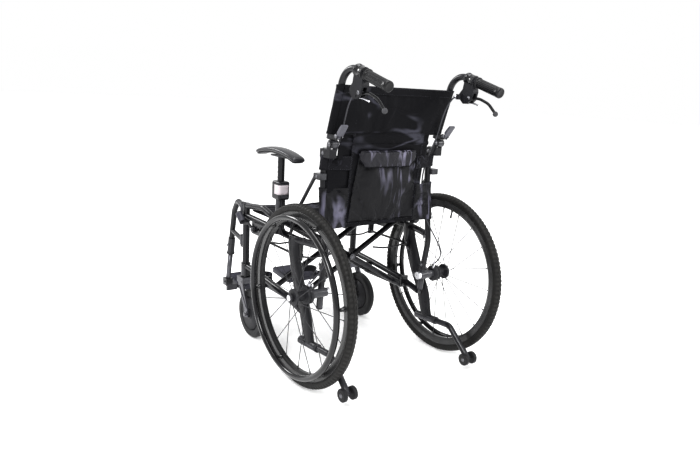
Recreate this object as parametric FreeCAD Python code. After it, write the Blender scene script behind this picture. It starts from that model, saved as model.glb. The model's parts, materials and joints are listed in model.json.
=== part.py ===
import FreeCAD, Part
import math
import os

# Folding self-propelled wheelchair with drum brakes, swing-away foot hangers and a half-folding back.
# Millimetres, +Z up, front toward -Y, the sitter's left side at +X.
# Sizes below are measured from the rear axle line (y = 0); AXLE_Y moves the chair so that the
# origin is under the middle of its bounding box.

V = FreeCAD.Vector
X, Y, Z = V(1, 0, 0), V(0, 1, 0), V(0, 0, 1)

AXLE_Y = 236.1           # rear axle line in the part's own frame

# rear wheel
WHEEL_R = 280.0           # 22-inch wheel
WHEEL_X = 286.0           # middle plane of the wheel
AXLE_Z = WHEEL_R
TYRE_W = 27.0
TYRE_SEAT_R = 257.0       # where tyre and rim meet
RIM_INNER_R = 233.0
RIM_W = 20.0
HANDRIM_R = 240.5
HANDRIM_TUBE_R = 9.0
HANDRIM_X = 320.0
TABS = 6
SPOKES = 20
HUB_IN, HUB_OUT = 264.0, 322.0
AXLE_R = 6.35
FIT = 0.05                # running clearance on radius

# frame
TUBE_R = 11.0
SIDE_X = 240.0            # plane of the side frame's tubes
CANE_X = 210.0
CANE_R = 10.0
POST_Y = -454.0
LINK_BRACKET_Y = (-108.0, -328.0)
LINK_X, LINK_Z = 222.0, 367.0

# cross brace: two scissor pairs
PIVOT_X, PIVOT_Z = 217.0, 212.0
SEAT_RAIL_X, SEAT_RAIL_Z = 215.0, 462.0
BAR_R = 9.5
BAR_Y = (-140.0, -285.0)  # the left-hinged bar of each pair
BAR_GAP_Y = 20.5          # its partner lies this much further forward
BOLT_Z = PIVOT_Z + (SEAT_RAIL_Z - PIVOT_Z) * PIVOT_X / (PIVOT_X + SEAT_RAIL_X)
SLEEVE_FRONT, SLEEVE_REAR = -318.0, -118.0

# back
FOLD_Y, FOLD_Z = 26.0, 737.0
FOLD_PIN_R = 5.0
HANDLE_CORNER = (72.0, 962.0)
HANDLE_END = (256.0, 906.2)
GRIP_R = 14.7
LEVER_PIVOT = (49.0, 758.0)
BRAKE_PIVOT = (150.0, 886.0)
LATCH_PIVOT = (137.0, 877.0)

# brake cable
CABLE_X = 191.0
CABLE_R = 2.3
CABLE_ROUTE = [
    (191, 93.5, 884), (191, 70, 864), (189, 50, 812), (190, 36, 760), (189, 12, 712),
    (190, -12, 664), (189, -20, 606), (190, -14, 546), (191, 6, 492), (199, 32, 450),
    (222, 46, 408), (247, 44, 362), (257.5, 22, 332), (257.5, 2, 314),
]

# castor
CASTOR_R = 88.0
CASTOR_W = 28.0
CASTOR_TRAIL = 60.0
CASTOR_Y = POST_Y + CASTOR_TRAIL
STEM_R = 8.0

# wheel lock
LOCK_PIVOT = (-352.0, 408.0)
SHOE_PIVOT = (-268.0, 400.0)
SHOE_BAR = (-252.0, 433.0)

# foot hanger
HANGER_AXIS_Y = -482.0
HANGER_X = 225.0
FOOT_PIVOT = (-635.0, 112.0)   # y and z of the footplate's hinge axis
FOOT_HINGE_X = 200.0

# arm
ARM_X, ARM_Y = 252.0, -195.0
ARM_POST_R = 11.0
PAD_RADIUS = 420.0
PAD_MID_Y, PAD_TOP = -215.0, 703.0

# anti-tipper
TIP_X = 246.0
TIP_SOCKET = 39.0
TIP_WHEEL = (209.0, 42.5)
TIP_WHEEL_R = 20.0
TIP_STUB_R = 9.0


def cyl(radius, start, end):
    a, b = V(*start), V(*end)
    return Part.makeCylinder(radius, (b - a).Length, a, b - a)


def box(x0, x1, y0, y1, z0, z1):
    return Part.makeBox(x1 - x0, y1 - y0, z1 - z0, V(x0, y0, z0))


def fuse(*shapes):
    out = shapes[0].multiFuse(list(shapes[1:])) if len(shapes) > 1 else shapes[0]
    return out.removeSplitter()


def cut(shape, *tools):
    for tool in tools:
        shape = shape.cut(tool)
    return shape


def at_x(pairs, x):
    return [(x, y, z) for y, z in pairs]


def fillet_path(points, radii):
    """Straight runs joined by tangent arcs of the given radii."""
    pts = [V(*p) for p in points]
    edges = []
    here = pts[0]
    for i in range(1, len(pts) - 1):
        a = (pts[i - 1] - pts[i]).normalize()
        b = (pts[i + 1] - pts[i]).normalize()
        turn = math.pi - a.getAngle(b)
        reach = radii[i - 1] * math.tan(turn / 2)
        p, q = pts[i] + a * reach, pts[i] + b * reach
        mid_dir = (a + b).normalize()
        mid = pts[i] + mid_dir * (radii[i - 1] * (1 / math.cos(turn / 2) - 1))
        if (p - here).Length > 1e-6:
            edges.append(Part.LineSegment(here, p).toShape())
        edges.append(Part.Arc(p, mid, q).toShape())
        here = q
    edges.append(Part.LineSegment(here, pts[-1]).toShape())
    return Part.Wire(edges)


def tube(points, radius, bends=()):
    """A round tube along points; bends holds one bend radius for each inner point."""
    if len(points) == 2:
        return cyl(radius, points[0], points[1])
    if isinstance(bends, (int, float)):
        bends = [bends] * (len(points) - 2)
    path = fillet_path(points, bends)
    direction = V(*points[1]) - V(*points[0])
    ring = Part.Wire(Part.makeCircle(radius, V(*points[0]), direction))
    return path.makePipeShell([ring], True, False)


def ring_x(profile, x, y, z):
    """Revolve (radius, x offset) points about the X axis through (x, y, z)."""
    pts = [V(x + dx, y, z + r) for r, dx in profile]
    face = Part.Face(Part.makePolygon(pts + [pts[0]]))
    return face.revolve(V(x, y, z), X, 360)


def disc_x(radius, x0, x1, y, z):
    return cyl(radius, (x0, y, z), (x1, y, z))


def loft_yz(sections):
    """Solid through ellipses lying in level planes: (x, y, z, half width x, half width y)."""
    wires = []
    for x, y, z, half_x, half_y in sections:
        major = max(half_x, half_y)
        minor = min(half_x, half_y)
        ellipse = Part.Ellipse(V(0, 0, 0), major, minor)
        wire = Part.Wire(ellipse.toShape())
        if half_y > half_x:
            wire.rotate(V(0, 0, 0), Z, 90)
        wire.translate(V(x, y, z))
        wires.append(wire)
    return Part.makeLoft(wires, True, False)


# ---- rear wheel -------------------------------------------------------------------------------

def tyre():
    half = TYRE_W / 2
    seat = RIM_W / 2
    profile = [
        (TYRE_SEAT_R, -seat), (TYRE_SEAT_R + 6, -half), (WHEEL_R - 9, -half), (WHEEL_R - 3, -half + 4),
        (WHEEL_R, -half + 9), (WHEEL_R, half - 9), (WHEEL_R - 3, half - 4), (WHEEL_R - 9, half),
        (TYRE_SEAT_R + 6, half), (TYRE_SEAT_R, seat),
    ]
    return ring_x(profile, WHEEL_X, 0, AXLE_Z)


def rim():
    seat = RIM_W / 2
    profile = [
        (TYRE_SEAT_R, -seat), (RIM_INNER_R + 8, -seat), (RIM_INNER_R, -seat + 5),
        (RIM_INNER_R, seat - 5), (RIM_INNER_R + 8, seat), (TYRE_SEAT_R, seat),
    ]
    return ring_x(profile, WHEEL_X, 0, AXLE_Z)


def spokes():
    rods = []
    for i in range(SPOKES):
        flange_x = HUB_OUT - 12 if i % 2 else HUB_IN + 6
        rim_angle = 2 * math.pi * i / SPOKES
        hub_angle = rim_angle + (0.5 if i % 2 else -0.5)
        start = (flange_x, 23 * math.sin(hub_angle), AXLE_Z + 23 * math.cos(hub_angle))
        reach = RIM_INNER_R + 3
        end = (WHEEL_X, reach * math.sin(rim_angle), AXLE_Z + reach * math.cos(rim_angle))
        rods.append(cyl(1.1, start, end))
    return Part.makeCompound(rods)


def hub():
    profile = [
        (AXLE_R + FIT, HUB_IN), (25, HUB_IN), (27, HUB_IN + 4), (27, HUB_IN + 8), (15, HUB_IN + 14),
        (14, HUB_OUT - 20), (26, HUB_OUT - 15), (26, HUB_OUT - 9), (13, HUB_OUT - 6), (13, HUB_OUT),
        (AXLE_R + FIT, HUB_OUT),
    ]
    return ring_x(profile, 0, 0, AXLE_Z)


def handrim():
    hoop = Part.makeTorus(HANDRIM_R, HANDRIM_TUBE_R, V(HANDRIM_X, 0, AXLE_Z), X)
    tabs = []
    for i in range(TABS):
        angle = 2 * math.pi * (i + 0.35) / TABS
        y = HANDRIM_R * math.sin(angle)
        z = AXLE_Z + HANDRIM_R * math.cos(angle)
        tabs.append(cyl(4, (WHEEL_X + RIM_W / 2, y * 1.02, AXLE_Z + (z - AXLE_Z) * 1.02), (HANDRIM_X, y, z)))
    return fuse(hoop, *tabs)


def axle():
    shaft = disc_x(AXLE_R, 192, 325, 0, AXLE_Z)
    button = disc_x(9, 323.5, 328, 0, AXLE_Z)
    nut = disc_x(13, 184, 194, 0, AXLE_Z)
    return fuse(shaft, button, nut)


def hub_brake():
    plate = disc_x(26, 252.5, 262.5, 0, AXLE_Z)
    cable_stop = cyl(5, (257.5, 0, AXLE_Z + 20), (257.5, 0, AXLE_Z + 34))
    return cut(fuse(plate, cable_stop), disc_x(AXLE_R + FIT, 240, 270, 0, AXLE_Z))


# ---- side frame -------------------------------------------------------------------------------

def side_frame():
    post = cyl(12.5, (SIDE_X, POST_Y, 214), (SIDE_X, POST_Y, 478))
    housing = cyl(17, (SIDE_X, POST_Y, 214), (SIDE_X, POST_Y, 262))
    main_rail = tube([(216, -10, 425), (SIDE_X, -100, 427), (SIDE_X, POST_Y, 436)], TUBE_R, 120)
    top_points = [(SIDE_X, POST_Y + 2, 473), (SIDE_X, -330, 486), (SIDE_X, -264, 470), (SIDE_X, -236, 431)]
    top_rail = tube(top_points, TUBE_R - 0.7, 38)
    lower_rail = tube([(SIDE_X, POST_Y, 252), (SIDE_X, -330, 243), (SIDE_X, -150, 225), (SIDE_X, -50, 203)],
                      TUBE_R, 150)
    blade = loft_yz([
        (246, 4, 116, 12, 24), (246, -14, 155, 12.5, 26), (246, -35, 215, 13, 30), (245, -66, 268, 13, 31),
        (244, -92, 325, 13, 31), (242, -112, 375, 13, 30), (240, -122, 434, 13, 29),
    ])
    socket = cyl(13, (TIP_X, -52, 114), (TIP_X, TIP_SOCKET, 120))
    axle_tube = disc_x(14, 196, 251.5, 0, AXLE_Z)
    web = box(236, 250, -72, 4, AXLE_Z - 14, AXLE_Z + 14)
    strut = tube([(233, -24, 640), (237, -112, 520), (SIDE_X, -150, 430)], 5.5, 60)
    strut_lug = box(213, 237, -30, 4, 630, 648)
    arm_socket = cyl(15.5, (ARM_X, ARM_Y, 428), (ARM_X, ARM_Y, 541))
    arm_foot = box(SIDE_X, ARM_X, ARM_Y - 15, ARM_Y + 15, 424, 446)
    collar = box(ARM_X - 20, ARM_X + 20, ARM_Y - 25, ARM_Y + 25, 541, 600)
    collar = collar.makeFillet(7, collar.Edges)
    hanger_pins = [cyl(5, (SIDE_X, HANGER_AXIS_Y, z0), (SIDE_X, HANGER_AXIS_Y, z1))
                   for z0, z1 in ((322, 362), (440, 482))]
    hanger_lugs = [box(SIDE_X - 6, SIDE_X + 6, HANGER_AXIS_Y - 6, POST_Y, z, z + 8) for z in (316, 436)]
    brackets = [box(PIVOT_X - 8, SIDE_X, y - 4, y + 4, PIVOT_Z - 8, PIVOT_Z + 30)
                for y in (SLEEVE_REAR + 6, SLEEVE_FRONT - 6)]
    pivot_rod = cyl(8, (PIVOT_X, SLEEVE_FRONT - 8, PIVOT_Z), (PIVOT_X, SLEEVE_REAR + 8, PIVOT_Z))
    link_hangers = [box(218, SIDE_X, y - 3.5, y + 3.5, 356, 430) for y in LINK_BRACKET_Y]
    link_rod = cyl(4, (LINK_X, LINK_BRACKET_Y[1] - 4, LINK_Z), (LINK_X, LINK_BRACKET_Y[0] + 4, LINK_Z))
    lock_plate = box(SIDE_X + 4, 261, -370, -256, 392, 432)
    lock_pin = disc_x(5, 256, 271, *LOCK_PIVOT)
    shoe_pin = disc_x(4, 256, 271, *SHOE_PIVOT)
    body = fuse(post, housing, main_rail, top_rail, lower_rail, blade, socket, axle_tube, web,
                strut, strut_lug, arm_foot, arm_socket, collar, *hanger_pins, *hanger_lugs,
                *brackets, pivot_rod, *link_hangers, link_rod, lock_plate, lock_pin, shoe_pin)
    return cut(
        body,
        disc_x(AXLE_R, 180, 270, 0, AXLE_Z),
        cyl(ARM_POST_R + FIT, (ARM_X, ARM_Y, 450), (ARM_X, ARM_Y, 610)),
        cyl(STEM_R + FIT, (SIDE_X, POST_Y, 200), (SIDE_X, POST_Y, 258)),
        cyl(TIP_STUB_R + FIT, tip_line(-20), tip_line(TIP_SOCKET + 20)),
        back_tube(),
    )


def tip_line(y):
    """A point on the axis of the anti-tipper's socket at station y."""
    return (TIP_X, y, 114 + (y + 52) * 6 / 91)


def back_tube():
    pts = at_x([(-10, 722), (-18, 650), (-14, 580), (13, 402), (-3, 305), (-9, 228)], CANE_X)
    return tube(pts, CANE_R, [250, 300, 110, 140])


def back_cane():
    cheeks = []
    for x0 in (197.5, 218.5):
        ear = disc_x(12, x0, x0 + 4, FOLD_Y, FOLD_Z)
        cheeks.append(fuse(ear, box(x0, x0 + 4, FOLD_Y - 14, FOLD_Y + 2, 696, FOLD_Z)))
    joiner = box(197.5, 222.5, FOLD_Y - 48, FOLD_Y + 2, 696, 721)
    pin = disc_x(FOLD_PIN_R, 197.5, 222.5, FOLD_Y, FOLD_Z)
    heads = [disc_x(8, 195, 197.5, FOLD_Y, FOLD_Z), disc_x(8, 222.5, 225, FOLD_Y, FOLD_Z)]
    return cut(fuse(back_tube(), joiner, *cheeks, pin, *heads), disc_x(AXLE_R, 180, 240, 0, AXLE_Z))


# ---- folding back and push handle ------------------------------------------------------------

def handle_tube():
    start = (FOLD_Y - 18, FOLD_Z + 15)
    return tube(at_x([start, HANDLE_CORNER, HANDLE_END], CANE_X), CANE_R, 55)


def upper_cane():
    eye = disc_x(12, 202.3, 217.7, FOLD_Y, FOLD_Z)
    neck = cyl(7.5, (CANE_X, FOLD_Y, FOLD_Z), (CANE_X, FOLD_Y - 13, FOLD_Z + 30))
    lugs = [box(x, x + 3.2, 16, 54, 751, 765) for x in (201.8, 215)]
    pin = disc_x(3, 201.8, 218.2, LEVER_PIVOT[0], LEVER_PIVOT[1])
    return cut(fuse(handle_tube(), eye, neck, *lugs, pin), disc_x(FOLD_PIN_R + FIT, 190, 230, FOLD_Y, FOLD_Z))


def fold_lever():
    eye = disc_x(5.5, 205.3, 214.7, LEVER_PIVOT[0], LEVER_PIVOT[1])
    pts = [(51, 755), (60, 763), (72, 779), (82, 792), (78, 796), (67, 785), (54, 768), (47, 761)]
    face = Part.Face(Part.makePolygon([V(199, y, z) for y, z in pts + [pts[0]]]))
    paddle = face.extrude(V(22, 0, 0))
    slots = [box(198, 205.2, 38, 59, 743, 772), box(214.8, 222, 38, 59, 743, 772)]
    return cut(fuse(cut(paddle, *slots), eye), disc_x(3 + FIT, 190, 230, LEVER_PIVOT[0], LEVER_PIVOT[1]))


def along_handle(y):
    """Height of the push handle's axis at station y."""
    slope = (HANDLE_END[1] - HANDLE_CORNER[1]) / (HANDLE_END[0] - HANDLE_CORNER[0])
    return HANDLE_END[1] + slope * (y - HANDLE_END[0])


def grip():
    body = cyl(GRIP_R, (CANE_X, 174, along_handle(174)), (CANE_X, 263, along_handle(263)))
    flange = cyl(GRIP_R + 2.3, (CANE_X, 171, along_handle(171)), (CANE_X, 176, along_handle(176)))
    bore = cyl(CANE_R, (CANE_X, 150, along_handle(150)), (CANE_X, HANDLE_END[0], HANDLE_END[1]))
    return cut(fuse(body, flange), bore)


def brake_body():
    clamp = cyl(CANE_R + 6.5, (CANE_X, 126, along_handle(126)), (CANE_X, 160, along_handle(160)))
    pts = [(128, 945), (160, 938), (166, 905), (160, 880), (146, 870),
           (128, 868), (112, 882), (108, 896), (122, 912)]
    face = Part.Face(Part.makePolygon([V(198, y, z) for y, z in pts + [pts[0]]]))
    housing = face.extrude(V(24, 0, 0))
    pins = [disc_x(3.5, 196, 224, *BRAKE_PIVOT), disc_x(2.5, 196, 224, *LATCH_PIVOT)]
    slot = box(204, 216, 130, 180, 860, 900)
    nozzle = cyl(4.2, (CABLE_X, 114, 888), (CABLE_X, 96, 886))
    nozzle_block = box(186, 200, 108, 124, 880, 896)
    bore = cyl(CANE_R, (CANE_X, 100, along_handle(100)), (CANE_X, 180, along_handle(180)))
    return cut(fuse(cut(fuse(clamp, housing), slot), *pins, nozzle, nozzle_block), bore)


def brake_lever():
    eye = disc_x(8, 204.4, 215.6, *BRAKE_PIVOT)
    arm = tube(at_x([(152, 884), (182, 886), (222, 872), (250, 846)], CANE_X), 4.2, [60, 60])
    ball = Part.makeSphere(7.5, V(CANE_X, 252, 844))
    return cut(fuse(eye, arm, ball), disc_x(3.5 + FIT, 190, 230, *BRAKE_PIVOT))


def brake_latch():
    eye = disc_x(5, 204.6, 215.4, *LATCH_PIVOT)
    arm = tube(at_x([(138, 873), (160, 871), (184, 865)], CANE_X), 2.6, 30)
    return cut(fuse(eye, arm), disc_x(2.5 + FIT, 190, 230, *LATCH_PIVOT))


def cord_radii(points):
    """Each arc is as large as its two runs allow."""
    radii = []
    for a, b, c in zip(points, points[1:], points[2:]):
        back, ahead = V(*a) - V(*b), V(*c) - V(*b)
        turn = math.pi - back.getAngle(ahead)
        radii.append(0.45 * min(back.Length, ahead.Length) / math.tan(turn / 2))
    return radii


def brake_cable():
    radii = cord_radii(CABLE_ROUTE)
    print("brake cable arc radii", [round(r) for r in radii])
    cable = tube(CABLE_ROUTE, CABLE_R, radii)
    length = fillet_path(CABLE_ROUTE, radii).Length
    print("brake cable length", round(length), "volume ratio",
          round(cable.Volume / (math.pi * CABLE_R ** 2 * length), 4))
    return cable


# ---- castor -----------------------------------------------------------------------------------

def fork():
    stem = cyl(STEM_R, (SIDE_X, POST_Y, 196), (SIDE_X, POST_Y, 256))
    crown = box(SIDE_X - 25, SIDE_X + 25, POST_Y - 20, POST_Y + 26, 190, 212)
    legs = []
    for x0 in (SIDE_X - 25, SIDE_X + 19):
        outline = [
            (POST_Y - 18, 200), (POST_Y + 20, 200), (CASTOR_Y + 13, CASTOR_R),
            (CASTOR_Y + 8, CASTOR_R - 11), (CASTOR_Y - 8, CASTOR_R - 11), (CASTOR_Y - 13, CASTOR_R),
        ]
        face = Part.Face(Part.makePolygon([V(x0, y, z) for y, z in outline + [outline[0]]]))
        plate = face.extrude(V(6, 0, 0))
        slot = Part.Face(Part.makePolygon([
            V(x0 - 1, POST_Y - 3, 180), V(x0 - 1, POST_Y + 7, 180),
            V(x0 - 1, CASTOR_Y + 2, CASTOR_R + 22), V(x0 - 1, CASTOR_Y - 5, CASTOR_R + 22),
            V(x0 - 1, POST_Y - 3, 180),
        ])).extrude(V(8, 0, 0))
        legs.append(plate.cut(slot))
    axle_bolt = disc_x(5, SIDE_X - 30, SIDE_X + 30, CASTOR_Y, CASTOR_R)
    return fuse(stem, crown, *legs, axle_bolt)


def castor_wheel():
    half = CASTOR_W / 2
    profile = [
        (5 + FIT, -17), (15, -17), (16, -12), (58, -8), (64, -half), (CASTOR_R - 7, -half),
        (CASTOR_R, -half + 8), (CASTOR_R, half - 8), (CASTOR_R - 7, half), (64, half),
        (58, 8), (16, 12), (15, 17), (5 + FIT, 17),
    ]
    return ring_x(profile, SIDE_X, CASTOR_Y, CASTOR_R)


# ---- wheel lock -------------------------------------------------------------------------------

def lock_lever():
    eye = disc_x(11, 263, 269, *LOCK_PIVOT)
    rod = tube([(266, -352, 408), (266, -386, 424), (266, -420, 416), (266, -440, 427)], 4.5, [20, 14])
    grip_block = cyl(11.5, (266, -430, 419), (266, -464, 446))
    return cut(fuse(eye, rod, grip_block), disc_x(5 + FIT, 250, 290, *LOCK_PIVOT))


def lock_shoe():
    eye = disc_x(8.5, 263, 269, *SHOE_PIVOT)
    arm = cyl(4, (267, SHOE_PIVOT[0], SHOE_PIVOT[1]), (267, *SHOE_BAR))
    bar = disc_x(6, 262.5, 299, *SHOE_BAR)
    return cut(fuse(eye, arm, bar), disc_x(4 + FIT, 250, 290, *SHOE_PIVOT))


# ---- foot hanger ------------------------------------------------------------------------------

def hanger():
    knuckles = [cyl(10, (SIDE_X, HANGER_AXIS_Y, z0), (SIDE_X, HANGER_AXIS_Y, z1))
                for z0, z1 in ((325, 357), (445, 477))]
    neck = tube([(SIDE_X, HANGER_AXIS_Y - 4, 466), (HANGER_X + 4, -545, 474), (HANGER_X, -582, 430),
                 (HANGER_X, -608, 300), (HANGER_X, -612, 262)], 10.5, [30, 40, 200])
    lower_arm = tube([(SIDE_X, HANGER_AXIS_Y - 4, 341), (HANGER_X, -598, 350)], 8.5)
    casing = cyl(13.5, (HANGER_X, -603, 320), (HANGER_X, -613, 256))
    foot_tube = cyl(8.5, (HANGER_X, -612, 262), (HANGER_X, FOOT_PIVOT[0], 140))
    clamp = box(HANGER_X - 14, HANGER_X + 14, FOOT_PIVOT[0] - 16, FOOT_PIVOT[0] + 14, 124, 152)
    hinge_y, hinge_z = FOOT_PIVOT
    hinge_pin = cyl(6, (FOOT_HINGE_X, hinge_y - 28, hinge_z), (FOOT_HINGE_X, hinge_y + 14, hinge_z))
    ear = box(FOOT_HINGE_X - 8, HANGER_X + 9, hinge_y + 4, hinge_y + 14, 104, 127)
    bores = [cyl(5 + FIT, (SIDE_X, HANGER_AXIS_Y, z - 40), (SIDE_X, HANGER_AXIS_Y, z + 42))
             for z in (341, 461)]
    return cut(fuse(*knuckles, neck, lower_arm, casing, foot_tube, clamp, ear, hinge_pin), *bores)


def footplate():
    plate = box(30, FOOT_HINGE_X - 19, -752, -606, 104, 116)
    rounded = [e for e in plate.Edges if abs(e.tangentAt(e.FirstParameter).z) > 0.9]
    plate = plate.makeFillet(22, rounded)
    plate.rotate(V(0, FOOT_PIVOT[0], FOOT_PIVOT[1]), X, -6)
    hinge_y, hinge_z = FOOT_PIVOT
    knuckle = cyl(10, (FOOT_HINGE_X, hinge_y - 27, hinge_z), (FOOT_HINGE_X, hinge_y + 3.5, hinge_z))
    arm = box(FOOT_HINGE_X - 26, FOOT_HINGE_X, hinge_y - 26, hinge_y + 3, hinge_z - 7, hinge_z + 5)
    bore = cyl(6 + FIT, (FOOT_HINGE_X, -700, hinge_z), (FOOT_HINGE_X, -600, hinge_z))
    return cut(fuse(plate, knuckle, arm), bore)


# ---- arm rest ---------------------------------------------------------------------------------

def arm_post():
    post = cyl(ARM_POST_R, (ARM_X, ARM_Y, 470), (ARM_X, ARM_Y, 676))
    plate = box(ARM_X - 14, ARM_X + 14, ARM_Y - 45, ARM_Y + 45, 676, 681)
    return fuse(post, plate)


def arm_pad():
    centre = V(ARM_X, PAD_MID_Y, PAD_TOP - PAD_RADIUS)
    outer = Part.makeCylinder(PAD_RADIUS, 45, centre - X * 22.5, X)
    inner = Part.makeCylinder(PAD_RADIUS - 15, 45, centre - X * 22.5, X)
    window = box(ARM_X - 22.5, ARM_X + 22.5, -332, -86, 600, 720)
    pad = outer.cut(inner).common(window)
    flat = box(ARM_X - 14.5, ARM_X + 14.5, ARM_Y - 45.5, ARM_Y + 45.5, 670, 681)
    pad = fuse(pad, box(ARM_X - 20, ARM_X + 20, ARM_Y - 52, ARM_Y + 52, 676, 692))
    return pad.cut(flat)


# ---- anti-tipper ------------------------------------------------------------------------------

def anti_tip_tube():
    stub = cyl(TIP_STUB_R, tip_line(-18), tip_line(TIP_SOCKET + 10))
    y, z = TIP_WHEEL
    leg = tube([tip_line(TIP_SOCKET + 0.3), tip_line(113), (TIP_X, y, z)], 10, 30)
    pin = disc_x(4, TIP_X - 24, TIP_X + 24, y, z)
    return fuse(stub, leg, pin)


def anti_tip_wheels():
    y, z = TIP_WHEEL
    rollers = []
    for x0 in (TIP_X - 24, TIP_X + 11):
        roller = disc_x(TIP_WHEEL_R, x0, x0 + 13, y, z)
        roller = roller.makeFillet(3, roller.Edges)
        rollers.append(roller.cut(disc_x(4 + FIT, x0 - 1, x0 + 14, y, z)))
    return Part.makeCompound(rollers)


# ---- cross brace, seat and back ---------------------------------------------------------------

def brace(side, offset):
    """The bars hinged on one side (side = 1 left, -1 right) with their sleeve and seat rail."""
    parts = [
        cyl(11.5, (side * PIVOT_X, SLEEVE_FRONT, PIVOT_Z), (side * PIVOT_X, SLEEVE_REAR, PIVOT_Z)),
        tube([(-side * SEAT_RAIL_X, -438, SEAT_RAIL_Z), (-side * SEAT_RAIL_X, -58, SEAT_RAIL_Z)], 9.8),
    ]
    holes = [cyl(8 + FIT, (side * PIVOT_X, -400, PIVOT_Z), (side * PIVOT_X, -50, PIVOT_Z))]
    for y in BAR_Y:
        bar_y = y - offset
        low, high = (side * PIVOT_X, bar_y, PIVOT_Z), (-side * SEAT_RAIL_X, bar_y, SEAT_RAIL_Z)
        parts.append(cyl(BAR_R, low, high))
        if side > 0:
            parts.append(cyl(6, (0, bar_y, BOLT_Z), (0, y - BAR_GAP_Y - BAR_R - 4, BOLT_Z)))
            parts.append(cyl(10, (0, y - BAR_GAP_Y - BAR_R - 5, BOLT_Z), (0, y - BAR_GAP_Y - BAR_R - 1, BOLT_Z)))
        else:
            holes.append(cyl(6 + FIT, (0, bar_y - 20, BOLT_Z), (0, bar_y + 20, BOLT_Z)))
    return cut(fuse(*parts), *holes)


def links():
    """Curved arms from the side frame toward the brace bars, one for each scissor pair."""
    arms = []
    for y in (LINK_BRACKET_Y[0] - 8, LINK_BRACKET_Y[1] + 8):
        eye = cyl(6.5, (LINK_X, y - 3, LINK_Z), (LINK_X, y + 3, LINK_Z))
        bend = [(LINK_X - 3, y, LINK_Z), (180, y, LINK_Z - 9), (120, y, LINK_Z - 8), (74, y, LINK_Z)]
        arm = tube(bend, 3.0, 60)
        arms.append(fuse(eye, arm).cut(cyl(4 + FIT, (LINK_X, y - 9, LINK_Z), (LINK_X, y + 9, LINK_Z))))
    return Part.makeCompound(arms)


def slab(half_width, thickness, bottom, top):
    """A flat panel in the plane through two (y, z) stations."""
    (y0, z0), (y1, z1) = bottom, top
    t = thickness / 2
    face = Part.Face(Part.makePolygon([
        V(-half_width, y0 - t, z0), V(-half_width, y0 + t, z0), V(-half_width, y1 + t, z1),
        V(-half_width, y1 - t, z1), V(-half_width, y0 - t, z0)]))
    return face.extrude(V(2 * half_width, 0, 0))


def seat_sling():
    return box(-214, 214, -436, -62, 472.6, 478.6)


def back_lower():
    return slab(186, 6, (1, 476), (23, 728))


def back_upper():
    return slab(186, 6, (28, 742), (61, 906))


def back_pocket():
    return slab(118, 14, (14 + 0.4, 484), (32 + 0.4, 700)).translate(V(0, 3.5, 0))


def in_part_frame(shape):
    return shape.translate(V(0, AXLE_Y, 0))


def save(shape, name):
    shape = in_part_frame(shape.copy())
    if not shape.isValid():
        print("INVALID", name)
    shape.exportStep("parts/" + name + ".step")


SIDED = [
    side_frame, back_cane, axle, hub_brake, upper_cane, fold_lever, grip, brake_body,
    brake_lever, brake_latch, brake_cable, tyre, rim, spokes, hub, handrim, fork,
    castor_wheel, lock_lever, lock_shoe, hanger, footplate, arm_post, arm_pad,
    anti_tip_tube, anti_tip_wheels, links,
]


def main():
    os.makedirs("parts", exist_ok=True)
    for make in SIDED:
        left = make()
        save(left, "left_" + make.__name__)
        save(left.mirror(V(0, 0, 0), X), "right_" + make.__name__)
    save(brace(1, 0), "brace_left_hinged")
    save(brace(-1, BAR_GAP_Y), "brace_right_hinged")
    for make in (seat_sling, back_lower, back_upper, back_pocket):
        save(make(), make.__name__)


main()
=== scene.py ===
import bpy, bmesh, json, math
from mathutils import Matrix, Quaternion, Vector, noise


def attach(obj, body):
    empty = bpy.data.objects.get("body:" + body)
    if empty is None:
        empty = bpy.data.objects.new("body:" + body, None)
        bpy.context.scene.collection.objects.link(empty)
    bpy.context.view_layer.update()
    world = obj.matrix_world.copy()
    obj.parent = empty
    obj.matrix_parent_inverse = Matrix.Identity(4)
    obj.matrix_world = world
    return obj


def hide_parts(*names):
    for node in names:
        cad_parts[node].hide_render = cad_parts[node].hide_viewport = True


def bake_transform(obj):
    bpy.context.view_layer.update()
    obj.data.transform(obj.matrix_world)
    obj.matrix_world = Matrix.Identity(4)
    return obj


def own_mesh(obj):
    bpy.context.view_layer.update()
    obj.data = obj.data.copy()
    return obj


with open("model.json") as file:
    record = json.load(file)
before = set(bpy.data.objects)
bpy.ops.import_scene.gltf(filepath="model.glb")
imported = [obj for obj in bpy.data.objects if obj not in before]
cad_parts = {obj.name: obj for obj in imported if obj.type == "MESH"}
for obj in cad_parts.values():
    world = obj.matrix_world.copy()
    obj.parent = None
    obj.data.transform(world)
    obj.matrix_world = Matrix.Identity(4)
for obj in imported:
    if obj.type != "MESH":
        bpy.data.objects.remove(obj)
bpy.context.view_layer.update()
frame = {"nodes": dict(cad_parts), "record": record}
AXLE_Y = 0.2361          # the rear axle line; lengths below are in mm from it
AXLE_Z = 280             # its height
WHEEL_X = 286            # the middle plane of a driving wheel
ARM_X = 252              # the middle plane of an arm
scene = bpy.context.scene


def P(x, y, z):
    return Vector((x / 1000, y / 1000 + AXLE_Y, z / 1000))


def smooth(a, b, t):
    t = min(1, max(0, (t - a) / (b - a)))
    return t * t * (3 - 2 * t)


def n3(x, y, z, seed=0.0):
    return noise.noise(Vector((x + seed, y - seed * 0.7, z + seed * 1.3)))


# ---- materials ---------------------------------------------------------------------------------

def dial(node, **values):
    """Set named inputs of a node; _ stands for a space."""
    for key, value in values.items():
        node.inputs[key.replace("_", " ")].default_value = value


def new_node(nodes, kind, operation=None, **values):
    node = nodes.new("ShaderNode" + kind)
    if operation:
        node.operation = operation
    dial(node, **values)
    return node


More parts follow.
